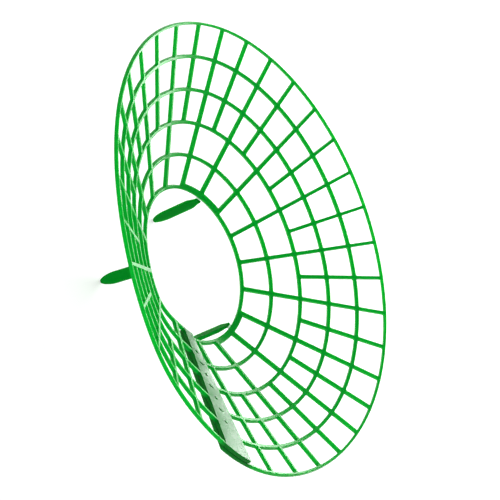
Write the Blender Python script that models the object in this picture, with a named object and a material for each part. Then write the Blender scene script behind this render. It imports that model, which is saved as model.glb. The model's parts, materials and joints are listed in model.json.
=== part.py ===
"""Plant support ring: a moulded mesh sheet bent to a cone and snapped to itself, on three folding legs."""
import math

import bmesh
import bpy
import numpy as np
from mathutils import Vector

# Driving dimensions of the sheet, in metres and degrees
RIM_RADIUS = 0.1500
INNER_RADIUS = 0.0533
CONE_HALF_ANGLE = 61.04
OVAL_SPREAD = 1.54
OVAL_HEADING = -71.9
LOBE_SPREAD = 0.44
LOBE_HEADING = -92.7
PITCHES_ROUND = 35
RING_COUNT = 6
SHORT_SPOKE_RING = 2
SHEET_THICKNESS = 0.0025
INNER_RING_WIDTH = 0.0026
RING_WIDTH = 0.0026
RIM_WIDTH = 0.0021
SPOKE_ROOT_WIDTH = 0.0030
SPOKE_TIP_WIDTH = 0.0023
RIB_CHAMFER = 0.0005

# Driving dimensions of the overlapped closure
CLOSURE_AZIMUTH = -90.0
CLOSURE_GAP = 0.0003
RISE_PITCHES = 3
SNAP_COUNT = 7
FIRST_SNAP_INSET = 0.0195
LAST_SNAP_INSET = 0.0270
STUD_DIAMETER = 0.0022
TONGUE_LENGTH = 0.0042
TONGUE_THICKNESS = 0.0014
SNAP_CLEARANCE = 0.0003
SNAP_PROUD = 0.0004
SNAP_SINK = 0.0006
SNAP_SIDES = 12

# Driving dimensions of the pads and legs
PAD_WIDTH = 0.0046
PAD_HALF_SPAN = 2
LEG_LENGTH = 0.0385
LEG_WIDTH = 0.0080
LEG_THICKNESS = 0.0025
LEG_CHAMFER = 0.0004
NECK_WIDTH = 0.0046
NECK_LENGTH = 0.0006
SHOULDER_LENGTH = 0.0068
TIP_LENGTH = 0.0120
TIP_FLAT = 0.0016
TIP_SHARPNESS = 1.4
TIP_STEPS = 8
KNUCKLE_STEPS = 8
HINGE_GAP = 0.0007
LEFT_LEG_LEAN = -5.5
REAR_LEG_LEAN = 6.2
RIGHT_LEG_LEAN = -6.0

# Values worked out from the driving dimensions
CONE_SINE = math.sin(math.radians(CONE_HALF_ANGLE))
FULL_TURN = 2 * math.pi
FLAT_TURN = FULL_TURN * CONE_SINE
PITCH_FLAT = FLAT_TURN / PITCHES_ROUND
INNER_REACH = INNER_RADIUS / CONE_SINE
RIM_REACH = RIM_RADIUS / CONE_SINE
LAYER_RISE = SHEET_THICKNESS + CLOSURE_GAP
FIRST_SPOKE = 2
LAST_SPOKE = PITCHES_ROUND - 1
REAR_PITCH = (PITCHES_ROUND + 1) / 2
LEG_STEP = PITCHES_ROUND / 3
LEG_PITCHES = {
    "leg_left": REAR_PITCH - LEG_STEP,
    "leg_rear": REAR_PITCH,
    "leg_right": REAR_PITCH + LEG_STEP,
}
PAD_SPOKES = [2 * round(pitch / 2) for pitch in LEG_PITCHES.values()]
LEG_LEANS = {"leg_left": LEFT_LEG_LEAN, "leg_rear": REAR_LEG_LEAN, "leg_right": RIGHT_LEG_LEAN}

PANEL_COLOUR = (0.012, 0.262, 0.045, 1.0)
LEG_COLOUR = (0.008, 0.205, 0.032, 1.0)


def clear_scene():
    for item in list(bpy.data.objects):
        bpy.data.objects.remove(item, do_unlink=True)


def plastic(name, colour):
    """Glossy moulded plastic."""
    material = bpy.data.materials.new(name)
    material.use_nodes = True
    shader = material.node_tree.nodes["Principled BSDF"]
    shader.inputs["Base Color"].default_value = colour
    shader.inputs["Roughness"].default_value = 0.32
    shader.inputs["Metallic"].default_value = 0.0
    return material


def smoothstep(value):
    value = min(max(value, 0.0), 1.0)
    return value * value * (3 - 2 * value)


def rise(pitch):
    """Height by which the upper end of the sheet climbs onto the lower one."""
    return LAYER_RISE * (1 - smoothstep((pitch - 1) / RISE_PITCHES))


def cone_angles(mean, turns):
    """Half angle of the cone round its axis: the bent sheet springs out of round, widest at its closure."""
    azimuths = math.radians(CLOSURE_AZIMUTH) - turns
    oval = math.radians(OVAL_SPREAD) * np.cos(2 * (azimuths - math.radians(OVAL_HEADING)))
    lobes = math.radians(LOBE_SPREAD) * np.cos(3 * (azimuths - math.radians(LOBE_HEADING)))
    return mean + oval + lobes


def flat_angles(mean, turns):
    """Angle on the flat sheet at each turn round the axis, which bending doesn't stretch."""
    angles = cone_angles(mean, turns)
    pace = np.hypot(np.sin(angles), np.gradient(angles, turns))
    steps = np.diff(turns) * (pace[1:] + pace[:-1]) / 2
    flat = np.concatenate([[0.0], np.cumsum(steps)])
    return flat - np.interp(0.0, turns, flat)


def mean_cone_angle(turns):
    """Mean half angle at which the bent sheet closes after one full turn, found by halving."""
    low, high = 0.0, math.pi / 2
    for _ in range(HALVINGS):
        middle = (low + high) / 2
        if np.interp(FULL_TURN, turns, flat_angles(middle, turns)) < FLAT_TURN:
            low = middle
        else:
            high = middle
    return (low + high) / 2


# The bent sheet as a table, from a quarter turn before the closure to a quarter turn after it
HALVINGS = 40
TURN_STEPS = 1080
TURNS = np.linspace(-FULL_TURN / 4, FULL_TURN * 5 / 4, TURN_STEPS + 1)
MEAN_ANGLE = mean_cone_angle(TURNS)
FLAT_ANGLES = flat_angles(MEAN_ANGLE, TURNS)


def spoke_direction(turn):
    angle = float(cone_angles(MEAN_ANGLE, turn))
    azimuth = math.radians(CLOSURE_AZIMUTH) - turn
    return Vector((
        math.sin(angle) * math.cos(azimuth),
        math.sin(angle) * math.sin(azimuth),
        math.cos(angle),
    ))


def sheet_axes(pitch):
    """Directions along the spoke, along the ring and out of the upper face, at a pitch of the sheet."""
    turn = float(np.interp((pitch - 0.5) * PITCH_FLAT, FLAT_ANGLES, TURNS))
    beside = FULL_TURN / TURN_STEPS
    along_spoke = spoke_direction(turn)
    along_ring = (spoke_direction(turn + beside) - spoke_direction(turn - beside)).normalized()
    upward = along_ring.cross(along_spoke).normalized()
    return along_spoke, along_ring, upward


def sheet_point(reach, pitch, height):
    """Point of the bent sheet: flat radius from the apex, pitch round it, height over its middle."""
    along_spoke, _, upward = sheet_axes(pitch)
    return along_spoke * reach + upward * (height + rise(pitch))


def ring_reach(ring):
    return INNER_REACH + (RIM_REACH - INNER_REACH) * ring / (RING_COUNT - 1)


def ring_width(ring):
    if ring == 0:
        return INNER_RING_WIDTH
    return RIM_WIDTH if ring == RING_COUNT - 1 else RING_WIDTH


def spoke_width(reach):
    share = (reach - INNER_REACH) / (RIM_REACH - INNER_REACH)
    return SPOKE_ROOT_WIDTH + (SPOKE_TIP_WIDTH - SPOKE_ROOT_WIDTH) * share


def lattice_bands():
    """What lies between each circle of the lattice and the next: a ring, the pad's width or open space."""
    bands = []
    for ring in range(RING_COUNT):
        bands += [("ring", ring), ("pad", ring), ("space", ring)]
    return [band for band in bands if band[0] != "pad" or band[1] == 0][:-1]


def row_reaches(inset):
    """Flat radius of every circle, with the plastic drawn in by an inset."""
    reaches = []
    for ring in range(RING_COUNT):
        inner_edge = ring_reach(ring) - ring_width(ring) / 2
        reaches += [inner_edge + inset, inner_edge + ring_width(ring) - inset]
        if ring == 0:
            reaches.append(inner_edge + PAD_WIDTH - inset)
    return reaches


def lattice_columns():
    """What lies between each radial line and the next: an end strip, a spoke or the space beside one."""
    columns = [("strip", 0.25), ("strip", 0.75)]
    for spoke in range(FIRST_SPOKE, LAST_SPOKE + 1):
        columns += [("space", spoke - 0.75), ("space", spoke - 0.25), ("spoke", spoke)]
    columns += [("space", LAST_SPOKE + 0.25), ("space", LAST_SPOKE + 0.75)]
    columns += [("strip", PITCHES_ROUND + 0.25), ("strip", PITCHES_ROUND + 0.75)]
    return columns


def column_pitches(reach, inset):
    """Pitch of every radial line at one flat radius, with the strips and spokes drawn in by an inset."""
    margin = inset / (reach * PITCH_FLAT)
    half = spoke_width(reach) / 2 / (reach * PITCH_FLAT) - margin
    edges = [margin, 1 - margin]
    for spoke in range(FIRST_SPOKE, LAST_SPOKE + 1):
        edges += [spoke - half, spoke + half]
    edges += [PITCHES_ROUND + margin, PITCHES_ROUND + 1 - margin]
    pitches = [edges[0]]
    for number, (start, end) in enumerate(zip(edges, edges[1:])):
        is_spoke = number % 2 == 0 and 0 < number < len(edges) - 2
        pitches += [end] if is_spoke else [(start + end) / 2, end]
    return pitches


def over_pad(pitch):
    return any(abs(pitch - spoke) < PAD_HALF_SPAN for spoke in PAD_SPOKES)


def is_filled(band, column):
    """Whether the sheet has plastic in this band of this column."""
    band_kind, ring = band
    column_kind, pitch = column
    if band_kind == "ring" or column_kind == "strip":
        return True
    if band_kind == "pad" and over_pad(pitch):
        return True
    if column_kind == "space":
        return False
    return pitch % 2 == 0 or ring >= SHORT_SPOKE_RING


def lattice_levels():
    """Height of each outline over the sheet's middle and its inset: the upper edges are chamfered."""
    half = SHEET_THICKNESS / 2
    return [(-half, 0.0), (half - RIB_CHAMFER, 0.0), (half, RIB_CHAMFER)]


def lattice_mesh():
    """The bent lattice as one closed skin: two faces, with a wall and a chamfer along every free edge."""
    levels = lattice_levels()
    top = len(levels) - 1
    reaches = [row_reaches(inset) for _, inset in levels]
    pitches = [
        [column_pitches(reach, inset) for reach in row]
        for row, (_, inset) in zip(reaches, levels)
    ]
    mesh = bmesh.new()
    corners = {}

    def corner(row, line, level):
        key = (row, line, level)
        if key not in corners:
            place = sheet_point(reaches[level][row], pitches[level][row][line], levels[level][0])
            corners[key] = mesh.verts.new(place)
        return corners[key]

    filled = {
        (row, line)
        for row, band in enumerate(lattice_bands())
        for line, column in enumerate(lattice_columns())
        if is_filled(band, column)
    }
    for row, line in sorted(filled):
        loop = [(row, line), (row, line + 1), (row + 1, line + 1), (row + 1, line)]
        beside = [(row - 1, line), (row, line + 1), (row + 1, line), (row, line - 1)]
        mesh.faces.new([corner(*place, top) for place in loop])
        mesh.faces.new([corner(*place, 0) for place in reversed(loop)])
        for start, end, neighbour in zip(loop, loop[1:] + loop[:1], beside):
            if neighbour in filled:
                continue
            for low in range(top):
                lower = [corner(*start, low), corner(*end, low)]
                upper = [corner(*end, low + 1), corner(*start, low + 1)]
                mesh.faces.new(lower + upper)
    bmesh.ops.recalc_face_normals(mesh, faces=mesh.faces)
    return mesh


def add_object(name, mesh, parent, material=None):
    """Turn a bmesh into a named object under a parent."""
    data = bpy.data.meshes.new(name)
    mesh.to_mesh(data)
    mesh.free()
    item = bpy.data.objects.new(name, data)
    bpy.context.scene.collection.objects.link(item)
    item.parent = parent
    if material:
        data.materials.append(material)
    return item


def snap_reaches():
    """Flat radii of the snaps, evenly spaced along the middle of the strip."""
    first = INNER_REACH + FIRST_SNAP_INSET
    last = RIM_REACH - LAST_SNAP_INSET
    return [first + (last - first) * number / (SNAP_COUNT - 1) for number in range(SNAP_COUNT)]


def rounded_outline(length, width):
    """Round-ended outline: length runs along the ring, width along the spoke."""
    straight = (length - width) / 2
    outline = []
    for step in range(SNAP_SIDES):
        angle = 2 * math.pi * (step + 0.5) / SNAP_SIDES
        shift = math.copysign(straight, math.cos(angle))
        outline.append((shift + width / 2 * math.cos(angle), width / 2 * math.sin(angle)))
    return outline


def snap_prisms(margin, pitch, low, high):
    """Snaps of the strip as prisms: round studs by turns with tongues, each grown by a margin."""
    along_spoke, along_ring, upward = sheet_axes(pitch)
    mesh = bmesh.new()
    for number, reach in enumerate(snap_reaches()):
        length, width = (TONGUE_LENGTH, TONGUE_THICKNESS) if number % 2 else (STUD_DIAMETER, STUD_DIAMETER)
        outline = rounded_outline(length + 2 * margin, width + 2 * margin)
        foot = along_spoke * reach
        rings = []
        for height in (low, high):
            level = foot + upward * height
            rings.append([mesh.verts.new(level + along_ring * x + along_spoke * y) for x, y in outline])
        mesh.faces.new(rings[0])
        mesh.faces.new(rings[1])
        for here, there in zip(range(SNAP_SIDES), list(range(1, SNAP_SIDES)) + [0]):
            mesh.faces.new([rings[0][here], rings[0][there], rings[1][there], rings[1][here]])
    bmesh.ops.recalc_face_normals(mesh, faces=mesh.faces)
    return mesh


def hide_guide(item):
    item.hide_render = True
    item.display_type = "WIRE"


def add_boolean(item, guide, operation):
    cut = item.modifiers.new(guide.name, "BOOLEAN")
    cut.operation = operation
    cut.solver = "EXACT"
    cut.object = guide


def build_panel(parent, material):
    """The lattice with slots in its upper end strip and the snaps that stand in them on its lower one."""
    panel = add_object("lattice_panel", lattice_mesh(), parent, material)
    middle = PITCHES_ROUND + 0.5
    strip_top = SHEET_THICKNESS / 2
    upper_top = strip_top + LAYER_RISE
    slot_base = strip_top + CLOSURE_GAP / 2
    slots = snap_prisms(SNAP_CLEARANCE, middle, slot_base, upper_top + SHEET_THICKNESS)
    slot_cutter = add_object("slot_cutter", slots, parent)
    snaps = snap_prisms(0.0, middle, strip_top - SNAP_SINK, upper_top + SNAP_PROUD)
    snap_guide = add_object("snap_guide", snaps, parent)
    for guide, operation in ((slot_cutter, "DIFFERENCE"), (snap_guide, "UNION")):
        hide_guide(guide)
        add_boolean(panel, guide, operation)
    return panel


def leg_outline(inset):
    """Half of the leg's outline from the hinge down, drawn in by an inset: half width and height."""
    neck = NECK_WIDTH / 2 - inset
    half = LEG_WIDTH / 2 - inset
    shoulder = -NECK_LENGTH - SHOULDER_LENGTH
    tip_start = TIP_LENGTH - LEG_LENGTH
    points = [(neck, 0.0), (neck, -NECK_LENGTH), (half, shoulder)]
    for step in range(TIP_STEPS + 1):
        angle = math.pi / 2 * step / TIP_STEPS
        share = max(math.cos(angle), 0.0) ** TIP_SHARPNESS
        width = TIP_FLAT / 2 + (half - TIP_FLAT / 2) * share
        points.append((width, tip_start - (TIP_LENGTH - inset) * math.sin(angle)))
    return points


def leg_levels():
    """Depth of each outline through the leg's thickness and its inset: the edges are chamfered."""
    half = LEG_THICKNESS / 2
    near = [(-half, LEG_CHAMFER), (LEG_CHAMFER - half, 0.0)]
    return near + [(-depth, inset) for depth, inset in reversed(near)]


def knuckle_arc(mesh, first, last):
    """Half round of vertices over the hinge axis from one vertex of the outline to the one behind it."""
    side, radius = first.co.x, last.co.y
    arc = [first]
    for step in range(1, KNUCKLE_STEPS):
        angle = math.pi * step / KNUCKLE_STEPS
        arc.append(mesh.verts.new((side, -radius * math.cos(angle), radius * math.sin(angle))))
    return arc + [last]


def leg_mesh():
    """Flat tongue that hangs from a round knuckle on the hinge axis, which is the local X axis."""
    mesh = bmesh.new()
    loops = []
    for depth, inset in leg_levels():
        right = leg_outline(inset)
        outline = right + [(-x, z) for x, z in reversed(right)]
        loops.append([mesh.verts.new((x, depth, z)) for x, z in outline])
    front, front_side, back_side, back = loops
    mesh.faces.new(front)
    mesh.faces.new(back)
    for near, far in zip(loops, loops[1:]):
        for here in range(len(near) - 1):
            mesh.faces.new([near[here], near[here + 1], far[here + 1], far[here]])
    arcs = [knuckle_arc(mesh, front_side[0], back_side[0]), knuckle_arc(mesh, front[0], back[0])]
    arcs += [knuckle_arc(mesh, front[-1], back[-1]), knuckle_arc(mesh, front_side[-1], back_side[-1])]
    mesh.faces.new(arcs[0])
    mesh.faces.new(arcs[-1])
    for near, far in zip(arcs, arcs[1:]):
        for here in range(KNUCKLE_STEPS):
            mesh.faces.new([near[here], near[here + 1], far[here + 1], far[here]])
    bmesh.ops.recalc_face_normals(mesh, faces=mesh.faces)
    return mesh


def build_leg(name, parent, material):
    """A leg with its origin on its hinge axis, just inside the inner edge of its pad."""
    pitch = LEG_PITCHES[name]
    inner_edge = INNER_REACH - INNER_RING_WIDTH / 2
    leg = add_object(name, leg_mesh(), parent, material)
    leg.location = sheet_point(inner_edge - HINGE_GAP - LEG_THICKNESS / 2, pitch, 0.0)
    azimuth = math.atan2(leg.location.y, leg.location.x)
    leg.rotation_euler = (-math.radians(LEG_LEANS[name]), 0, azimuth - math.pi / 2)
    return leg


def stand_on_tips(stand, legs, pieces):
    """Level the three leg tips, then set the part on the ground with its box centred over the origin."""
    bpy.context.view_layer.update()
    left, rear, right = [leg.matrix_world @ Vector((0, 0, -LEG_LENGTH)) for leg in legs]
    normal = (rear - right).cross(left - right).normalized()
    stand.rotation_euler = normal.rotation_difference(Vector((0, 0, 1))).to_euler()
    bpy.context.view_layer.update()
    places = np.array([item.matrix_world @ vertex.co for item in pieces for vertex in item.data.vertices])
    low, high = places.min(axis=0), places.max(axis=0)
    stand.location = (-(low[0] + high[0]) / 2, -(low[1] + high[1]) / 2, -low[2])


def main():
    clear_scene()
    stand = bpy.data.objects.new("stand", None)
    bpy.context.scene.collection.objects.link(stand)
    panel = build_panel(stand, plastic("panel_green", PANEL_COLOUR))
    leg_green = plastic("leg_green", LEG_COLOUR)
    legs = [build_leg(name, stand, leg_green) for name in LEG_PITCHES]
    stand_on_tips(stand, legs, [panel, *legs])
    bpy.context.view_layer.update()


main()
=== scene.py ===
"""Looks of the plant support ring: a fine skin for its sheet, legs and film hinges, in a white studio."""
import json
import math

import bmesh
import bpy
import numpy as np
from mathutils import Matrix, Vector


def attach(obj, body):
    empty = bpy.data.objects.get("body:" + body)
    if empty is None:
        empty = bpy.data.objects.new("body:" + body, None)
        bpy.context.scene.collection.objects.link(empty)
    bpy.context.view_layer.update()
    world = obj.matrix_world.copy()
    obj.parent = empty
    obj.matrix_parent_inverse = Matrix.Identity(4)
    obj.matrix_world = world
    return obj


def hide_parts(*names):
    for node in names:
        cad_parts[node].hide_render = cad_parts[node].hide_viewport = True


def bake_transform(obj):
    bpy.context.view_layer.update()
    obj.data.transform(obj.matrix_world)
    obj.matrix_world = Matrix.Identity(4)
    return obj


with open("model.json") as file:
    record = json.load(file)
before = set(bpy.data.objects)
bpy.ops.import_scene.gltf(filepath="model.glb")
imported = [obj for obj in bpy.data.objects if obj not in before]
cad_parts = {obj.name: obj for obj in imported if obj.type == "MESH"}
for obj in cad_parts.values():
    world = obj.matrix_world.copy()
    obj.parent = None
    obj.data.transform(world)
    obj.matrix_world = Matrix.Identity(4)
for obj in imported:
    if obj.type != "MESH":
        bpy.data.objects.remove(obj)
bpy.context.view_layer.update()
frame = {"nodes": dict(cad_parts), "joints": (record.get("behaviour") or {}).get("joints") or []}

# The sheet, in metres and degrees, as the solids have it
RIM_RADIUS = 0.1500
INNER_RADIUS = 0.0533
CONE_HALF_ANGLE = 61.04
OVAL_SPREAD = 1.54
OVAL_HEADING = -71.9
LOBE_SPREAD = 0.44
LOBE_HEADING = -92.7
PITCHES_ROUND = 35
RING_COUNT = 6
SHORT_SPOKE_RING = 2
FIRST_SPOKE = 2
SHEET_THICKNESS = 0.0025
INNER_RING_WIDTH = 0.0026
RING_WIDTH = 0.0026
RIM_WIDTH = 0.0021
SPOKE_ROOT_WIDTH = 0.0030
SPOKE_TIP_WIDTH = 0.0023
PAD_WIDTH = 0.0046
PAD_HALF_SPAN = 2

# The overlapped closure
CLOSURE_AZIMUTH = -90.0
CLOSURE_GAP = 0.0003
STRIP_MIDDLE = 0.5
RISE_PITCHES = 3
SNAP_COUNT = 7
FIRST_SNAP_INSET = 0.0195
LAST_SNAP_INSET = 0.0270
STUD_DIAMETER = 0.0022
TONGUE_LENGTH = 0.0042
TONGUE_THICKNESS = 0.0014
SNAP_CLEARANCE = 0.0003
SNAP_PROUD = 0.0004

# A snap's side: outsets with heights over the lower strip, then outsets with heights from the snap's top
SNAP_FOOT = ((0.00022, 0.0), (0.00006, 0.00006), (0.0, 0.00022))
SNAP_HEAD = (
    (0.0, -0.00090),
    (0.00012, -0.00055),
    (0.00012, -0.00030),
    (-0.00004, -0.00008),
    (-0.00030, 0.0),
)

# The legs and their film hinges; a leg's end on the hinge is a knuckle
LEG_LENGTH = 0.0385
LEG_WIDTH = 0.0080
LEG_THICKNESS = 0.0025
NECK_WIDTH = 0.0046
NECK_LENGTH = 0.0006
SHOULDER_LENGTH = 0.0068
TIP_LENGTH = 0.0120
TIP_FLAT = 0.0016
TIP_SHARPNESS = 1.4
TIP_REACH_SHARE = 0.9999
KNUCKLE_RADIUS = 0.0010
KNUCKLE_START = 8.0
KNUCKLE_EDGE_SHARE = 0.8
HINGE_GAP = 0.0007
WEB_THICKNESS = 0.0006
WEB_SINK = 0.0005
WEB_SIDE_INSET = 0.0003
WEB_SHARP_ANGLE = 40.0

# Edge roundings of the moulding
RIB_ROUND = 0.00045
PAD_ROUND = 0.00045
STRIP_ROUND = 0.00030
SLOT_ROUND = 0.00015
LOWER_ROUND = 0.00025
LEG_ROUND = 0.00055
FILLET = 0.0008
DRAFT = 0.00008
SUPPORT = 0.00010
RIM_INSET = 0.00012

# How finely the skin is divided
TURN_STEPS = 1080
HALVINGS = 40
PLACE_DIGITS = 10
UPPER_STEPS = 5
LOWER_STEPS = 2
CORNER_STEPS = 2
ARC_STEPS = 5
WIDE_ARC_STEPS = 9
WIDE_ARC_PITCHES = 1.5
SPOKE_STEPS = 3
STRIP_MARGIN = 0.0010
STRIP_STEP = 0.00035
SNAP_CELL_WIDTH = 0.0058
SNAP_CELL_LENGTH = 0.0040
SNAP_CELL_COLUMNS = 6
SNAP_CELL_ROWS = 4
LEG_STEPS = 10
WEB_STEPS = 8

# The plastics: colours in linear light, and scale and detail of each noise
PLASTICS = {
    "panel_green": {
        "tone": (0.0005, 0.350, 0.028),
        "light_tone": (0.001, 0.415, 0.036),
        # painted shade: a darker tone where the sheet's two ends lie on each other, standing in for the
        # light that passes less through the double thickness
        "shaded_tone": (0.0005, 0.160, 0.012),
        "roughness": 0.20,
        "specular": 0.06,
        "scatter": 0.4,
    },
    # painted shade: the same plastic as the sheet, in a darker tone because the wide legs let less light
    # through than the thin ribs
    "leg_green": {
        "tone": (0.0005, 0.200, 0.014),
        "light_tone": (0.0005, 0.235, 0.018),
        "roughness": 0.45,
        "specular": 0.02,
        "scatter": 0.50,
    },
    # partly painted highlight: the thin web lets light through, and its pale tone is painted to stand in
    # for the bright line of light along the hinge
    "film_green": {
        "tone": (0.520, 0.900, 0.600),
        "light_tone": (0.620, 0.940, 0.680),
        "roughness": 0.30,
        "specular": 0.14,
        "scatter": 0.0,
        "clearness": 0.75,
    },
}
PLASTIC_IOR = 1.49
SCATTER_RADIUS = (0.20, 1.0, 0.30)
SCATTER_SCALE = 0.0080
FLOW_NOISE = (45.0, 3.0)
GLOSS_NOISE = (120.0, 2.0)
GRAIN_NOISE = (260.0, 2.0)
GLOSS_SPREAD = 0.03
GRAIN_STRENGTH = 0.05
GRAIN_DEPTH = 0.0001
# painted shade fades out over this many pitches from the overlapped strips into the mesh
SHADE_FADE_PITCHES = 0.25

# The studio: floor distances in metres, and heights on the world's unit sphere
FLOOR_SIZE = 12.0
FLOOR_GREY = 0.70
NEAR_GLOW = 0.50
NEAR_FLOOR = 0.8
FAR_FLOOR = 2.4
WORLD_LIGHT = 0.34
HORIZON_TOP = 0.25
CEILING_FOOT = 0.50
SOFTBOX_DISTANCE = 1.6
SOFTBOXES = {
    "right_softbox": {
        "azimuth": 8.0,
        "elevation": 18.0,
        "size": (1.0, 0.7),
        "radiance": 2.4,
        "glints": True,
    },
    "back_softbox": {
        "azimuth": 44.0,
        "elevation": 12.0,
        "size": (1.5, 1.0),
        "radiance": 14.5,
        "glints": True,
    },
    "front_softbox": {
        "azimuth": 235.0,
        "elevation": 15.0,
        "size": (1.5, 1.0),
        "radiance": 3.0,
        "glints": False,
    },
}

# The camera: the photograph's view, whose window takes in one whole object
CAMERA_PLACE = Vector((-0.78963, -0.62122, 0.69359))
CAMERA_TARGET = Vector((0.01432, 0.00825, 0.07614))
CAMERA_ROLL = 71.82
FOCAL_PIXELS = 1074.81
WINDOW_PIXELS = 300
SENSOR_WIDTH = 36.0

# Values worked out from those above
FULL_TURN = 2 * math.pi
CONE_SINE = math.sin(math.radians(CONE_HALF_ANGLE))
FLAT_TURN = FULL_TURN * CONE_SINE
PITCH_FLAT = FLAT_TURN / PITCHES_ROUND
INNER_REACH = INNER_RADIUS / CONE_SINE
RIM_REACH = RIM_RADIUS / CONE_SINE
LAYER_RISE = SHEET_THICKNESS + CLOSURE_GAP
HALF_SHEET = SHEET_THICKNESS / 2
SHEET_END = PITCHES_ROUND + 1
LAST_SPOKE = PITCHES_ROUND - 1
INNER_EDGE = INNER_REACH - INNER_RING_WIDTH / 2
RIM_EDGE = RIM_REACH + RIM_WIDTH / 2 - RIM_INSET
SNAP_COLUMN = CORNER_STEPS + 2
REAR_PITCH = (PITCHES_ROUND + 1) / 2
LEG_STEP = PITCHES_ROUND / 3
LEG_PITCHES = {"left": REAR_PITCH - LEG_STEP, "rear": REAR_PITCH, "right": REAR_PITCH + LEG_STEP}
PAD_SPOKES = [2 * round(pitch / 2) for pitch in LEG_PITCHES.values()]
HINGE_REACH = INNER_EDGE - HINGE_GAP - LEG_THICKNESS / 2
JOINTS = {name: next(j for j in frame["joints"] if j["child"] == name + "_leg") for name in LEG_PITCHES}


def smoothstep(value):
    value = np.clip(value, 0.0, 1.0)
    return value * value * (3 - 2 * value)


def unit_rows(rows):
    return rows / np.linalg.norm(rows, axis=-1, keepdims=True)


def rise(pitch):
    """Height by which the upper end of the sheet climbs onto the lower one."""
    return LAYER_RISE * (1 - smoothstep((pitch - 1) / RISE_PITCHES))


def cone_angles(mean, turns):
    """Half angle of the out-of-round cone at each turn round its axis."""
    azimuths = math.radians(CLOSURE_AZIMUTH) - turns
    oval = math.radians(OVAL_SPREAD) * np.cos(2 * (azimuths - math.radians(OVAL_HEADING)))
    lobes = math.radians(LOBE_SPREAD) * np.cos(3 * (azimuths - math.radians(LOBE_HEADING)))
    return mean + oval + lobes


def flat_angles(mean, turns):
    """Angle on the flat sheet at each turn round the axis."""
    angles = cone_angles(mean, turns)
    pace = np.hypot(np.sin(angles), np.gradient(angles, turns))
    flat = np.concatenate([[0.0], np.cumsum(np.diff(turns) * (pace[1:] + pace[:-1]) / 2)])
    return flat - np.interp(0.0, turns, flat)


def mean_cone_angle(turns):
    """Mean half angle at which the sheet closes after one full turn, found by halving."""
    low, high = 0.0, math.pi / 2
    for _ in range(HALVINGS):
        middle = (low + high) / 2
        if np.interp(FULL_TURN, turns, flat_angles(middle, turns)) < FLAT_TURN:
            low = middle
        else:
            high = middle
    return (low + high) / 2


# The bent sheet: turns round the cone's axis, and the flat angle at each of them
TURNS = np.linspace(-FULL_TURN / 4, FULL_TURN * 5 / 4, TURN_STEPS + 1)
MEAN_ANGLE = mean_cone_angle(TURNS)
FLAT_ANGLES = flat_angles(MEAN_ANGLE, TURNS)


def spoke_directions(turns):
    angles = cone_angles(MEAN_ANGLE, turns)
    azimuths = math.radians(CLOSURE_AZIMUTH) - turns
    return np.column_stack([
        np.sin(angles) * np.cos(azimuths),
        np.sin(angles) * np.sin(azimuths),
        np.cos(angles),
    ])


def cone_points(places):
    """Points on the cone's own axes for rows of flat radius, pitch and height over the sheet's middle."""
    reach, pitch, height = np.asarray(places, float).T
    turns = np.interp((pitch - STRIP_MIDDLE) * PITCH_FLAT, FLAT_ANGLES, TURNS)
    beside = FULL_TURN / TURN_STEPS
    along_spoke = spoke_directions(turns)
    along_ring = spoke_directions(turns + beside) - spoke_directions(turns - beside)
    upward = unit_rows(np.cross(along_ring, along_spoke))
    return along_spoke * reach[:, None] + upward * (height + rise(pitch))[:, None]


def axes_through(points):
    """Square axes laid through three points, as columns."""
    along = unit_rows(points[1] - points[0])
    normal = unit_rows(np.cross(along, points[2] - points[0]))
    return np.column_stack([along, np.cross(normal, along), normal])


# The stand: how the cone's axes lie in the frame, from where the frame has the three hinges
CONE_HINGES = cone_points([(HINGE_REACH, pitch, 0.0) for pitch in LEG_PITCHES.values()])
FRAME_HINGES = np.array([JOINTS[name]["pos_m"] for name in LEG_PITCHES])
STAND_TURN = axes_through(FRAME_HINGES) @ axes_through(CONE_HINGES).T
STAND_SHIFT = FRAME_HINGES.mean(axis=0) - STAND_TURN @ CONE_HINGES.mean(axis=0)


def sheet_points(places):
    """Points in the frame for rows of flat radius, pitch and height over the sheet's middle."""
    return cone_points(places) @ STAND_TURN.T + STAND_SHIFT


def ring_reach(ring):
    return INNER_REACH + (RIM_REACH - INNER_REACH) * ring / (RING_COUNT - 1)


def ring_width(ring):
    if ring == 0:
        return INNER_RING_WIDTH
    return RIM_WIDTH if ring == RING_COUNT - 1 else RING_WIDTH


def spoke_width(reach):
    share = (reach - INNER_REACH) / (RIM_REACH - INNER_REACH)
    return SPOKE_ROOT_WIDTH + (SPOKE_TIP_WIDTH - SPOKE_ROOT_WIDTH) * share


def pitch_length(reach):
    """Length of one pitch along a ring of that flat radius."""
    return reach * PITCH_FLAT


class Skin:
    """Vertices in the sheet's coordinates and the faces between them."""

    def __init__(self):
        self.places = []
        self.faces = []
        self.known = {}

    def vertex(self, reach, pitch, height):
        self.places.append((reach, pitch, height))
        return len(self.places) - 1

    def shared(self, reach, pitch, height):
        """A vertex that other regions meet at the same place."""
        key = (round(reach, PLACE_DIGITS), round(pitch, PLACE_DIGITS), height)
        if key not in self.known:
            self.known[key] = self.vertex(reach, pitch, height)
        return self.known[key]

    def bands(self, rows):
        """Faces between closed rows of vertices that follow each other."""
        for first, second in zip(rows, rows[1:]):
            for here in range(len(first)):
                there = (here + 1) % len(first)
                self.faces.append([first[here], first[there], second[there], second[here]])

    def bevelled_wall(self, border, wall, inward, rounds):
        """Upper face, rounded wall and lower face between the lines that regions share and an outline."""
        rows = [[self.shared(*place, HALF_SHEET) for place in border]]
        levels = [edge_levels(radius) for radius in rounds]
        for level in range(len(levels[0])):
            row = []
            for (reach, pitch), (along_spoke, along_ring), steps in zip(wall, inward, levels):
                offset, height = steps[level]
                beside = along_ring * offset / pitch_length(reach)
                row.append(self.vertex(reach + along_spoke * offset, pitch + beside, height))
            rows.append(row)
        rows.append([self.shared(*place, -HALF_SHEET) for place in border])
        self.bands(rows)


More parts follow.
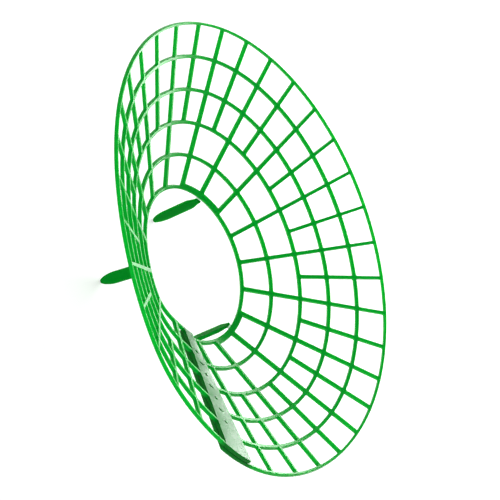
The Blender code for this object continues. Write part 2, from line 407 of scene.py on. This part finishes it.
def edge_levels(radius):
    """Inset and height of a moulded edge from the upper face to the lower one."""
    levels = [(radius + SUPPORT, HALF_SHEET)]
    for step in range(UPPER_STEPS + 1):
        angle = math.pi / 2 * step / UPPER_STEPS
        levels.append((radius * (1 - math.sin(angle)), HALF_SHEET - radius * (1 - math.cos(angle))))
    for step in range(LOWER_STEPS + 1):
        angle = math.pi / 2 * step / LOWER_STEPS
        rest = LOWER_ROUND * (1 - math.sin(angle))
        levels.append((LOWER_ROUND * (1 - math.cos(angle)), rest - HALF_SHEET))
    levels.append((LOWER_ROUND + SUPPORT, -HALF_SHEET))
    return [(inset + DRAFT * (height + HALF_SHEET) / SHEET_THICKNESS, height) for inset, height in levels]


def span(start, end, start_zone, end_zone, steps):
    """Places from one junction up to the next: two corner steps at each, and the rest evenly between."""
    middle = np.linspace(start + start_zone, end - end_zone, steps + 1)
    return [start, start + start_zone / 2, *middle.tolist(), end - end_zone / 2]


def upper_bar(reach):
    """Pitch of the line along which the mesh meets the upper strip."""
    return 1 - STRIP_MARGIN / pitch_length(reach)


def lower_bar(reach):
    """Pitch of the line along which the mesh meets the lower strip."""
    return PITCHES_ROUND + STRIP_MARGIN / pitch_length(reach)


def spokes_in_row(row):
    """Spokes that cross the space outside a ring; the odd ones start further out."""
    step = 2 if row < SHORT_SPOKE_RING else 1
    return list(range(FIRST_SPOKE, LAST_SPOKE + 1, step))


def ring_line(ring):
    """Pitches along a ring's middle, with each junction's index among them."""
    reach = ring_reach(ring)
    length = pitch_length(reach)
    half_spoke = spoke_width(reach) / 2
    spokes = spokes_in_row(min(ring, RING_COUNT - 2))
    junctions = [("upper", upper_bar(reach), STRIP_MARGIN)]
    junctions += [(spoke, float(spoke), half_spoke) for spoke in spokes]
    junctions += [("lower", lower_bar(reach), STRIP_MARGIN)]
    pitches = []
    index = {}
    for (name, start, start_half), (_, end, end_half) in zip(junctions, junctions[1:]):
        index[name] = len(pitches)
        steps = ARC_STEPS if end - start < WIDE_ARC_PITCHES else WIDE_ARC_STEPS
        zones = ((start_half + FILLET) / length, (end_half + FILLET) / length)
        pitches += span(start, end, *zones, steps)
    index["lower"] = len(pitches)
    pitches.append(junctions[-1][1])
    return pitches, index


def spoke_line(row):
    """Flat radii along a spoke's middle from one ring up to the next."""
    start_zone = ring_width(row) / 2 + FILLET
    end_zone = ring_width(row + 1) / 2 + FILLET
    return span(ring_reach(row), ring_reach(row + 1), start_zone, end_zone, SPOKE_STEPS)


RING_LINES = [ring_line(ring) for ring in range(RING_COUNT)]
SPOKE_LINES = [spoke_line(row) for row in range(RING_COUNT - 1)]


def straight_place(side, place, rings, bars):
    """Place on a straight side of an outline, and the direction out of it."""
    reach, pitch = place
    if side == 0:
        return (rings[0], pitch), (-1, 0)
    if side == 1:
        return (reach, bars[1](reach)), (0, 1)
    if side == 2:
        return (rings[1], pitch), (1, 0)
    return (reach, bars[0](reach)), (0, -1)


def corner_place(corner, angle, rings, bars):
    """Place on a rounded corner of an outline, and the direction out of it."""
    outer, last = ((0, 0), (0, 1), (1, 1), (1, 0))[corner]
    ring_sign = 1 - 2 * outer
    bar_sign = 1 - 2 * last
    reach = rings[outer] + ring_sign * FILLET
    pitch = bars[last](reach) + bar_sign * FILLET / pitch_length(reach)
    outward = (-ring_sign * math.cos(angle), -bar_sign * math.sin(angle))
    return (reach + FILLET * outward[0], pitch + FILLET * outward[1] / pitch_length(reach)), outward


def turned_outline(rings, bars, lines, rounds, material):
    """A round-cornered outline between two rings and two bars, matched to the lines that run round it.

    rings: flat radius of the wall along the inner and the outer side
    bars: pitch of the wall along the first and the last side, as functions of flat radius
    lines: the border's places along the inner, last, outer and first side, corners included
    rounds: edge rounding of each of those sides
    material: 1 where the plastic lies outside the outline, -1 where it lies inside
    """
    border, wall, inward, radii = [], [], [], []
    for side, line in enumerate(lines):
        next_side = (side + 1) % len(lines)
        end = len(line) - 1
        for number, place in enumerate(line[:-1]):
            if number <= CORNER_STEPS:
                corner, neighbour = side, side - 1
                share = (CORNER_STEPS - number) / CORNER_STEPS
            elif number >= end - CORNER_STEPS:
                corner, neighbour = next_side, next_side
                share = (number - end + CORNER_STEPS) / CORNER_STEPS
            else:
                corner, neighbour, share = None, side, 0.0
            if corner is None:
                point, outward = straight_place(side, place, rings, bars)
            else:
                turn = math.pi / 4 * share
                angle = math.pi / 2 - turn if side % 2 else turn
                point, outward = corner_place(corner, angle, rings, bars)
            border.append(place)
            wall.append(point)
            inward.append((material * outward[0], material * outward[1]))
            radii.append(rounds[side] + (rounds[neighbour] - rounds[side]) * share / 2)
    return border, wall, inward, radii


def over_pad(pitch):
    return any(abs(pitch - spoke) < PAD_HALF_SPAN for spoke in PAD_SPOKES)


def spoke_edge(spoke, side):
    """Pitch of one edge of a spoke, as a function of flat radius."""
    return lambda reach: spoke + side * spoke_width(reach) / 2 / pitch_length(reach)


def bar_middle(bar):
    """Pitch of the middle line of a spoke, or of a strip's line, as a function of flat radius."""
    return {"upper": upper_bar, "lower": lower_bar}.get(bar, lambda reach: float(bar))


def add_window(skin, row, first, last):
    """One opening of the mesh, between two rings and the two bars beside it."""
    low_reach, high_reach = ring_reach(row), ring_reach(row + 1)
    low_pitches, low_index = RING_LINES[row]
    high_pitches, high_index = RING_LINES[row + 1]
    first_wall = (lambda reach: 1.0) if first == "upper" else spoke_edge(first, 1)
    last_wall = (lambda reach: float(PITCHES_ROUND)) if last == "lower" else spoke_edge(last, -1)
    reaches = SPOKE_LINES[row] + [high_reach]
    low = low_pitches[low_index[first]:low_index[last] + 1]
    high = high_pitches[high_index[first]:high_index[last] + 1]
    lines = (
        [(low_reach, pitch) for pitch in low],
        [(reach, bar_middle(last)(reach)) for reach in reaches],
        [(high_reach, pitch) for pitch in reversed(high)],
        [(reach, bar_middle(first)(reach)) for reach in reversed(reaches)],
    )
    padded = row == 0 and over_pad((low[0] + low[-1]) / 2)
    low_wall = INNER_EDGE + PAD_WIDTH if padded else low_reach + ring_width(row) / 2
    rings = (low_wall, high_reach - ring_width(row + 1) / 2)
    rounds = (
        PAD_ROUND if padded else RIB_ROUND,
        STRIP_ROUND if last == "lower" else RIB_ROUND,
        RIB_ROUND,
        STRIP_ROUND if first == "upper" else RIB_ROUND,
    )
    skin.bevelled_wall(*turned_outline(rings, (first_wall, last_wall), lines, rounds, 1))


def add_windows(skin):
    for row in range(RING_COUNT - 1):
        bars = ["upper", *spokes_in_row(row), "lower"]
        for first, last in zip(bars, bars[1:]):
            add_window(skin, row, first, last)


def snap_reaches():
    first = INNER_REACH + FIRST_SNAP_INSET
    last = RIM_REACH - LAST_SNAP_INSET
    return [first + (last - first) * number / (SNAP_COUNT - 1) for number in range(SNAP_COUNT)]


def strip_rows():
    """Flat radii of the strip's cross lines, and the index at which each snap's cell starts."""
    corner = range(CORNER_STEPS + 1)
    reaches = [INNER_REACH + STRIP_STEP * step for step in corner]
    starts = []
    for snap in snap_reaches():
        starts.append(len(reaches))
        half = SNAP_CELL_LENGTH / 2
        reaches += np.linspace(snap - half, snap + half, SNAP_CELL_ROWS + 1).tolist()
    reaches += [RIM_REACH - STRIP_STEP * step for step in reversed(corner)]
    return reaches, starts


STRIP_ROWS, SNAP_ROWS = strip_rows()


def strip_columns(reach):
    """Shares of a pitch, from a strip's free edge, at which its long lines cross one flat radius."""
    width = pitch_length(reach)
    half = SNAP_CELL_WIDTH / 2
    near = [STRIP_MARGIN + STRIP_STEP * step for step in range(CORNER_STEPS + 1)]
    block = np.linspace(width / 2 - half, width / 2 + half, SNAP_CELL_COLUMNS + 1).tolist()
    far = width - STRIP_MARGIN - STRIP_STEP
    distances = near + [(near[-1] + block[0]) / 2] + block + [(block[-1] + far) / 2, far]
    return [distance / width for distance in distances]


def stadium(across, along, length, width):
    """Where a ray from a round-ended slot's middle meets its outline, and the direction out of it there."""
    straight = (length - width) / 2
    radius = width / 2
    size = math.hypot(across, along)
    side = math.copysign(1.0, across)
    run, climb = abs(across) / size, along / size
    if abs(climb) > 0 and radius / abs(climb) * run <= straight:
        reach = radius / abs(climb)
        return (side * run * reach, climb * reach), (0.0, math.copysign(1.0, climb))
    reach = straight * run + math.sqrt(radius ** 2 - (straight * climb) ** 2)
    point = (run * reach, climb * reach)
    normal = ((point[0] - straight) / radius, point[1] / radius)
    return (side * point[0], point[1]), (side * normal[0], normal[1])


def snap_outline(number, margin):
    """Length along the ring and width along the spoke of a snap: round studs by turns with tongues."""
    length, width = (TONGUE_LENGTH, TONGUE_THICKNESS) if number % 2 else (STUD_DIAMETER, STUD_DIAMETER)
    return length + 2 * margin, width + 2 * margin


def snap_levels():
    """Outset and height of a snap's side from its foot on the lower strip to its rounded head."""
    top = HALF_SHEET + CLOSURE_GAP + SHEET_THICKNESS + SNAP_PROUD
    foot = [(outset, HALF_SHEET + height) for outset, height in SNAP_FOOT]
    return foot + [(outset, top + height) for outset, height in SNAP_HEAD]


def cell_border(grid, start):
    """Places round a snap's cell, in order."""
    end = start + SNAP_CELL_ROWS
    left, right = SNAP_COLUMN, SNAP_COLUMN + SNAP_CELL_COLUMNS
    places = [grid[start][column] for column in range(left, right)]
    places += [grid[row][right] for row in range(start, end)]
    places += [grid[end][column] for column in range(right, left, -1)]
    places += [grid[row][left] for row in range(end, start, -1)]
    return places


def stitch(skin, first, first_reaches, second, second_reaches):
    """Triangles between two open rows of vertices that run side by side."""
    here, there = 0, 0
    while here < len(first) - 1 or there < len(second) - 1:
        step_first = there == len(second) - 1 or (
            here < len(first) - 1 and first_reaches[here + 1] <= second_reaches[there + 1]
        )
        if step_first:
            skin.faces.append([first[here], first[here + 1], second[there]])
            here += 1
        else:
            skin.faces.append([first[here], second[there + 1], second[there]])
            there += 1


def add_strip_face(skin, grid, bar, height, open_cells):
    """One face of a strip, left open at some cells and stitched to the mesh."""
    for row in range(len(grid) - 1):
        for column in range(len(grid[0]) - 1):
            if (row, column) in open_cells:
                continue
            corners = (
                grid[row][column],
                grid[row][column + 1],
                grid[row + 1][column + 1],
                grid[row + 1][column],
            )
            skin.faces.append([skin.shared(*corner, height) for corner in corners])
    edge = [skin.shared(*places[-1], height) for places in grid]
    bar_reaches = [reach for line in SPOKE_LINES for reach in line] + [RIM_REACH]
    bar_edge = [skin.shared(reach, bar(reach), height) for reach in bar_reaches]
    stitch(skin, edge, STRIP_ROWS, bar_edge, bar_reaches)


def add_snap(skin, border, wall, outward, snap, middle):
    """A stud or tongue on the lower strip, from its cell's border up to its head."""
    levels = snap_levels()
    rows = [[skin.shared(*place, HALF_SHEET) for place in border]]
    for outset, height in levels:
        rows.append([
            skin.vertex(reach + along * outset, pitch + across * outset / pitch_length(snap), height)
            for (reach, pitch), (along, across) in zip(wall, outward)
        ])
    skin.bands(rows)
    head = skin.vertex(snap, middle, levels[-1][1])
    last_row = rows[-1]
    for here in range(len(border)):
        skin.faces.append([last_row[here], last_row[(here + 1) % len(border)], head])


def add_strip(skin, pitch_of, bar, has_slots):
    """One end strip of the sheet, with slots in it or snaps on it."""
    grid = [[(reach, pitch_of(share)) for share in strip_columns(reach)] for reach in STRIP_ROWS]
    snap_columns = range(SNAP_COLUMN, SNAP_COLUMN + SNAP_CELL_COLUMNS)
    snap_cells = {
        (row, column)
        for start in SNAP_ROWS
        for row in range(start, start + SNAP_CELL_ROWS)
        for column in snap_columns
    }
    add_strip_face(skin, grid, bar, HALF_SHEET, snap_cells)
    add_strip_face(skin, grid, bar, -HALF_SHEET, snap_cells if has_slots else set())
    middle = pitch_of(STRIP_MIDDLE)
    margin = SNAP_CLEARANCE if has_slots else 0.0
    for number, (start, snap) in enumerate(zip(SNAP_ROWS, snap_reaches())):
        border = cell_border(grid, start)
        offsets = [((pitch - middle) * pitch_length(reach), reach - snap) for reach, pitch in border]
        hits = [stadium(*offset, *snap_outline(number, margin)) for offset in offsets]
        wall = [(snap + along, middle + across / pitch_length(snap)) for (across, along), _ in hits]
        outward = [(along, across) for _, (across, along) in hits]
        if has_slots:
            skin.bevelled_wall(border, wall, outward, [SLOT_ROUND] * len(border))
        else:
            add_snap(skin, border, wall, outward, snap, middle)


def upper_pitch(share):
    return share


def lower_pitch(share):
    return SHEET_END - share


def add_outer_edge(skin):
    """The sheet's own outline: inner ring, rim and the two free ends."""
    def across(ring):
        reach = ring_reach(ring)
        shares = strip_columns(reach)
        upper = [upper_pitch(share) for share in shares]
        lower = [lower_pitch(share) for share in reversed(shares)]
        return [(reach, pitch) for pitch in upper + RING_LINES[ring][0] + lower]

    lines = (
        across(0),
        [(reach, lower_pitch(strip_columns(reach)[0])) for reach in STRIP_ROWS],
        across(RING_COUNT - 1)[::-1],
        [(reach, upper_pitch(strip_columns(reach)[0])) for reach in reversed(STRIP_ROWS)],
    )
    rings = (INNER_EDGE, RIM_EDGE)
    bars = (lambda reach: 0.0, lambda reach: float(SHEET_END))
    rounds = (RIB_ROUND, STRIP_ROUND, RIB_ROUND, STRIP_ROUND)
    border, wall, inward, radii = turned_outline(rings, bars, lines, rounds, -1)
    ends = [pitch < 1 or pitch > PITCHES_ROUND for _, pitch in border]
    radii = [STRIP_ROUND if end else radius for end, radius in zip(ends, radii)]
    skin.bevelled_wall(border, wall, inward, radii)


def mesh_piece(name, points, faces, material):
    """A smooth closed piece from points in the frame."""
    data = bpy.data.meshes.new(name)
    data.from_pydata([tuple(point) for point in points], [], faces)
    work = bmesh.new()
    work.from_mesh(data)
    bmesh.ops.recalc_face_normals(work, faces=work.faces)
    work.to_mesh(data)
    work.free()
    data.shade_smooth()
    data.materials.append(material)
    piece = bpy.data.objects.new(name, data)
    bpy.context.scene.collection.objects.link(piece)
    return piece


def build_panel(material):
    """The mesh sheet, with an attribute that is one where its two ends lie on each other, which paints
    shade there.
    """
    skin = Skin()
    add_windows(skin)
    add_strip(skin, upper_pitch, upper_bar, True)
    add_strip(skin, lower_pitch, lower_bar, False)
    add_outer_edge(skin)
    panel = mesh_piece("mesh_sheet", sheet_points(skin.places), skin.faces, material)
    pitches = np.array([pitch for _, pitch, _ in skin.places])
    from_strip = np.minimum(pitches - 1, PITCHES_ROUND - pitches)
    # Painted shade: one on the overlapped strips, fading to nought in the mesh beside them
    doubled_shade = panel.data.attributes.new("doubled_shade", "FLOAT", "POINT")
    doubled_shade.data.foreach_set("value", 1 - smoothstep(from_strip / SHADE_FADE_PITCHES))
    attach(panel, "panel")
    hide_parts("lattice_panel")


def tube_faces(row_count, count):
    """Faces between closed rows of as many points each, numbered one row after the other."""
    faces = []
    for row in range(row_count - 1):
        low, high = row * count, (row + 1) * count
        for here in range(count):
            there = (here + 1) % count
            faces.append([low + here, low + there, high + there, high + here])
    return faces


def leg_half_outline():
    """Half width and height of the leg from its knuckle to its tip."""
    neck = NECK_WIDTH / 2
    wide = LEG_WIDTH / 2
    points = []
    for step in range(LEG_STEPS + 1):
        angle = math.radians(KNUCKLE_START + (90 - KNUCKLE_START) * step / LEG_STEPS)
        points.append((neck, KNUCKLE_RADIUS * math.cos(angle)))
    for step in range(1, LEG_STEPS + 1):
        share = step / LEG_STEPS
        widening = (share + float(smoothstep(share))) / 2
        points.append((neck + (wide - neck) * widening, -NECK_LENGTH - SHOULDER_LENGTH * share))
    for step in range(2 * LEG_STEPS + 1):
        angle = math.pi / 2 * step / (2 * LEG_STEPS)
        share = max(math.cos(angle), 0.0) ** TIP_SHARPNESS
        width = TIP_FLAT / 2 + (wide - TIP_FLAT / 2) * share
        points.append((width, TIP_LENGTH - LEG_LENGTH - TIP_LENGTH * math.sin(angle)))
    return points


def leg_frame(name):
    """Place and axes of a leg in the frame: along its hinge, through its thickness and up along it."""
    hinge = np.array(JOINTS[name]["pos_m"])
    corners = np.array([vertex.co for vertex in frame["nodes"]["leg_" + name].data.vertices])
    reaches = np.linalg.norm(corners - hinge, axis=1)
    tip = corners[reaches > reaches.max() * TIP_REACH_SHARE].mean(axis=0)
    upward = unit_rows(hinge - tip)
    through = unit_rows(np.cross(upward, np.array(JOINTS[name]["axis"])))
    return hinge, np.column_stack([np.cross(through, upward), through, upward])


def leg_levels(heights):
    """Inset and depth of a leg's rounded edge, from its front face to its back, at each height."""
    thickening = (LEG_THICKNESS / 2 - KNUCKLE_RADIUS) * smoothstep(-heights / SHOULDER_LENGTH)
    depths = np.sqrt(KNUCKLE_RADIUS ** 2 - np.maximum(heights, 0.0) ** 2) + thickening
    rounds = np.minimum(LEG_ROUND, depths * KNUCKLE_EDGE_SHARE)
    levels = [(rounds + SUPPORT, depths)]
    for step in range(UPPER_STEPS + 1):
        angle = math.pi / 2 * step / UPPER_STEPS
        levels.append((rounds * (1 - math.sin(angle)), depths - rounds * (1 - math.cos(angle))))
    return levels + [(inset, -depth) for inset, depth in reversed(levels)]


def build_leg(name, material):
    """A tongue leg with rounded edges and a knuckle on its hinge axis."""
    right = leg_half_outline()
    outline = np.array(right + [(-x, z) for x, z in reversed(right)])
    ahead = np.roll(outline, -1, axis=0) - np.roll(outline, 1, axis=0)
    inward = unit_rows(np.column_stack([ahead[:, 1], -ahead[:, 0]]))
    if (inward * (outline - outline.mean(axis=0))).sum() > 0:
        inward = -inward
    levels = leg_levels(outline[:, 1:])
    points = []
    for inset, depth in levels:
        flat = outline + inward * inset
        points += np.column_stack([flat[:, 0], depth[:, 0], flat[:, 1]]).tolist()
    count = len(outline)
    faces = tube_faces(len(levels), count)
    for first in (0, (len(levels) - 1) * count):
        for here in range(count // 2 - 1):
            mirrored = count - 1 - here
            faces.append([first + here, first + here + 1, first + mirrored - 1, first + mirrored])
    place, axes = leg_frame(name)
    leg = mesh_piece("tongue_leg_" + name, np.array(points) @ axes.T + place, faces, material)
    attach(leg, name + "_leg")
    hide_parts("leg_" + name)


def build_film_hinge(name, material):
    """The thin web between a pad's inner edge and its leg, built as one fixed piece; on the real part it
    bends as the leg folds.
    """
    pitch = LEG_PITCHES[name]
    outer, inner = INNER_EDGE, INNER_EDGE - HINGE_GAP
    reaches = [outer + WEB_SINK, *np.linspace(outer, inner, WEB_STEPS + 1).tolist(), inner - WEB_SINK]
    half_width = NECK_WIDTH / 2 - WEB_SIDE_INSET
    corners = ((-1, -1), (1, -1), (1, 1), (-1, 1))
    places = []
    for reach in reaches:
        beside = half_width / pitch_length(reach)
        for side, height in corners:
            places.append((reach, pitch + side * beside, height * WEB_THICKNESS / 2))
    faces = tube_faces(len(reaches), len(corners))
    for first in (0, (len(reaches) - 1) * len(corners)):
        faces.append([first + corner for corner in range(len(corners))])
    web = mesh_piece("film_hinge_" + name, sheet_points(places), faces, material)
    web.data.set_sharp_from_angle(angle=math.radians(WEB_SHARP_ANGLE))
    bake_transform(web)


def moulded_plastic(name, tone, light_tone, roughness, specular, scatter, clearness=0.0, shaded_tone=None):
    """Moulded plastic that lets some light through, with faint flow marks, an uneven gloss and, where a
    shaded tone is given, painted shade over the overlapped strips.
    """
    material = bpy.data.materials.new(name)
    material.use_nodes = True
    nodes, links = material.node_tree.nodes, material.node_tree.links
    shader = nodes["Principled BSDF"]
    shader.inputs["IOR"].default_value = PLASTIC_IOR
    shader.inputs["Specular IOR Level"].default_value = specular
    shader.inputs["Transmission Weight"].default_value = clearness
    shader.inputs["Subsurface Weight"].default_value = scatter
    shader.inputs["Subsurface Radius"].default_value = SCATTER_RADIUS
    shader.inputs["Subsurface Scale"].default_value = SCATTER_SCALE
    place = nodes.new("ShaderNodeTexCoord")

    def noise(scale, detail):
        texture = nodes.new("ShaderNodeTexNoise")
        texture.inputs["Scale"].default_value = scale
        texture.inputs["Detail"].default_value = detail
        links.new(place.outputs["Object"], texture.inputs["Vector"])
        return texture.outputs["Fac"]

    flow = nodes.new("ShaderNodeMix")
    flow.data_type = "RGBA"
    flow.inputs["A"].default_value = (*tone, 1.0)
    flow.inputs["B"].default_value = (*light_tone, 1.0)
    links.new(noise(*FLOW_NOISE), flow.inputs["Factor"])
    colour = flow.outputs["Result"]
    # Painted shade: the shaded tone is laid over the colour where the sheet's ends lie on each other
    if shaded_tone:
        doubled_shade = nodes.new("ShaderNodeAttribute")
        doubled_shade.attribute_name = "doubled_shade"
        shade_mix = nodes.new("ShaderNodeMix")
        shade_mix.data_type = "RGBA"
        shade_mix.inputs["B"].default_value = (*shaded_tone, 1.0)
        links.new(doubled_shade.outputs["Fac"], shade_mix.inputs["Factor"])
        links.new(colour, shade_mix.inputs["A"])
        colour = shade_mix.outputs["Result"]
    links.new(colour, shader.inputs["Base Color"])
    gloss = nodes.new("ShaderNodeMapRange")
    gloss.inputs["To Min"].default_value = roughness - GLOSS_SPREAD
    gloss.inputs["To Max"].default_value = roughness + GLOSS_SPREAD
    links.new(noise(*GLOSS_NOISE), gloss.inputs["Value"])
    links.new(gloss.outputs["Result"], shader.inputs["Roughness"])
    grain = nodes.new("ShaderNodeBump")
    grain.inputs["Strength"].default_value = GRAIN_STRENGTH
    grain.inputs["Distance"].default_value = GRAIN_DEPTH
    links.new(noise(*GRAIN_NOISE), grain.inputs["Height"])
    links.new(grain.outputs["Normal"], shader.inputs["Normal"])
    return material


def seen_by_eye(nodes, links):
    """One for rays that the camera sees, directly, in gloss or through plastic, and nought for others."""
    path = nodes.new("ShaderNodeLightPath")
    either = nodes.new("ShaderNodeMath")
    either.operation = "MAXIMUM"
    links.new(path.outputs["Is Camera Ray"], either.inputs[0])
    links.new(path.outputs["Is Glossy Ray"], either.inputs[1])
    every = nodes.new("ShaderNodeMath")
    every.operation = "MAXIMUM"
    links.new(either.outputs["Value"], every.inputs[0])
    links.new(path.outputs["Is Transmission Ray"], every.inputs[1])
    return every.outputs["Value"]


def build_floor():
    """White floor that stays white to the eye and still takes the object's shadow."""
    bpy.ops.mesh.primitive_plane_add(size=FLOOR_SIZE, location=(0.0, 0.0, 0.0))
    floor = bpy.context.object
    floor.name = "floor"
    material = bpy.data.materials.new("white_floor")
    material.use_nodes = True
    nodes, links = material.node_tree.nodes, material.node_tree.links
    nodes.remove(nodes["Principled BSDF"])
    matt = nodes.new("ShaderNodeBsdfDiffuse")
    matt.inputs["Color"].default_value = (FLOOR_GREY, FLOOR_GREY, FLOOR_GREY, 1.0)
    place = nodes.new("ShaderNodeTexCoord")
    distance = nodes.new("ShaderNodeVectorMath")
    distance.operation = "LENGTH"
    links.new(place.outputs["Object"], distance.inputs[0])
    paling = nodes.new("ShaderNodeMapRange")
    paling.inputs["From Min"].default_value = NEAR_FLOOR
    paling.inputs["From Max"].default_value = FAR_FLOOR
    paling.inputs["To Min"].default_value = NEAR_GLOW
    links.new(distance.outputs["Value"], paling.inputs["Value"])
    strength = nodes.new("ShaderNodeMath")
    strength.operation = "MULTIPLY"
    links.new(seen_by_eye(nodes, links), strength.inputs[0])
    links.new(paling.outputs["Result"], strength.inputs[1])
    glow = nodes.new("ShaderNodeEmission")
    both = nodes.new("ShaderNodeAddShader")
    links.new(strength.outputs["Value"], glow.inputs["Strength"])
    links.new(matt.outputs["BSDF"], both.inputs[0])
    links.new(glow.outputs["Emission"], both.inputs[1])
    links.new(both.outputs["Shader"], nodes["Material Output"].inputs["Surface"])
    floor.data.materials.append(material)


def build_world():
    """Dim surroundings that look plain white to the eye near the horizon."""
    world = bpy.data.worlds.new("white_studio")
    world.use_nodes = True
    nodes, links = world.node_tree.nodes, world.node_tree.links
    place = nodes.new("ShaderNodeTexCoord")
    axes = nodes.new("ShaderNodeSeparateXYZ")
    links.new(place.outputs["Generated"], axes.inputs["Vector"])
    horizon = nodes.new("ShaderNodeMapRange")
    horizon.inputs["From Min"].default_value = CEILING_FOOT
    horizon.inputs["From Max"].default_value = HORIZON_TOP
    horizon.inputs["To Max"].default_value = 1.0 - WORLD_LIGHT
    links.new(axes.outputs["Z"], horizon.inputs["Value"])
    white = nodes.new("ShaderNodeMath")
    white.operation = "MULTIPLY_ADD"
    white.inputs[2].default_value = WORLD_LIGHT
    links.new(seen_by_eye(nodes, links), white.inputs[0])
    links.new(horizon.outputs["Result"], white.inputs[1])
    links.new(white.outputs["Value"], nodes["Background"].inputs["Strength"])
    nodes["Background"].inputs["Color"].default_value = (1.0, 1.0, 1.0, 1.0)
    bpy.context.scene.world = world


def build_softbox(name, azimuth, elevation, size, radiance, glints):
    """A large rectangular soft light that faces the object."""
    light = bpy.data.lights.new(name, "AREA")
    light.shape = "RECTANGLE"
    light.size, light.size_y = size
    light.energy = radiance * math.pi * light.size * light.size_y
    lamp = bpy.data.objects.new(name, light)
    turn, tilt = math.radians(azimuth), math.radians(elevation)
    outward = Vector((math.cos(turn) * math.cos(tilt), math.sin(turn) * math.cos(tilt), math.sin(tilt)))
    lamp.location = CAMERA_TARGET + outward * SOFTBOX_DISTANCE
    lamp.rotation_euler = outward.to_track_quat("Z", "Y").to_euler()
    lamp.visible_camera = False
    lamp.visible_glossy = glints
    bpy.context.scene.collection.objects.link(lamp)


def build_camera():
    camera = bpy.data.objects.new("camera", bpy.data.cameras.new("camera"))
    camera.data.sensor_width = SENSOR_WIDTH
    camera.data.lens = SENSOR_WIDTH * FOCAL_PIXELS / WINDOW_PIXELS
    facing = (CAMERA_TARGET - CAMERA_PLACE).to_track_quat("-Z", "Y").to_matrix().to_4x4()
    roll = Matrix.Rotation(math.radians(CAMERA_ROLL), 4, "Z")
    camera.matrix_world = Matrix.Translation(CAMERA_PLACE) @ facing @ roll
    bpy.context.scene.collection.objects.link(camera)
    bpy.context.scene.camera = camera


def main():
    bpy.context.scene.view_settings.view_transform = "Standard"
    plastics = {name: moulded_plastic(name, **setting) for name, setting in PLASTICS.items()}
    build_panel(plastics["panel_green"])
    for name in LEG_PITCHES:
        build_leg(name, plastics["leg_green"])
        build_film_hinge(name, plastics["film_green"])
    build_floor()
    build_world()
    for name, setting in SOFTBOXES.items():
        build_softbox(name, **setting)
    build_camera()


main()
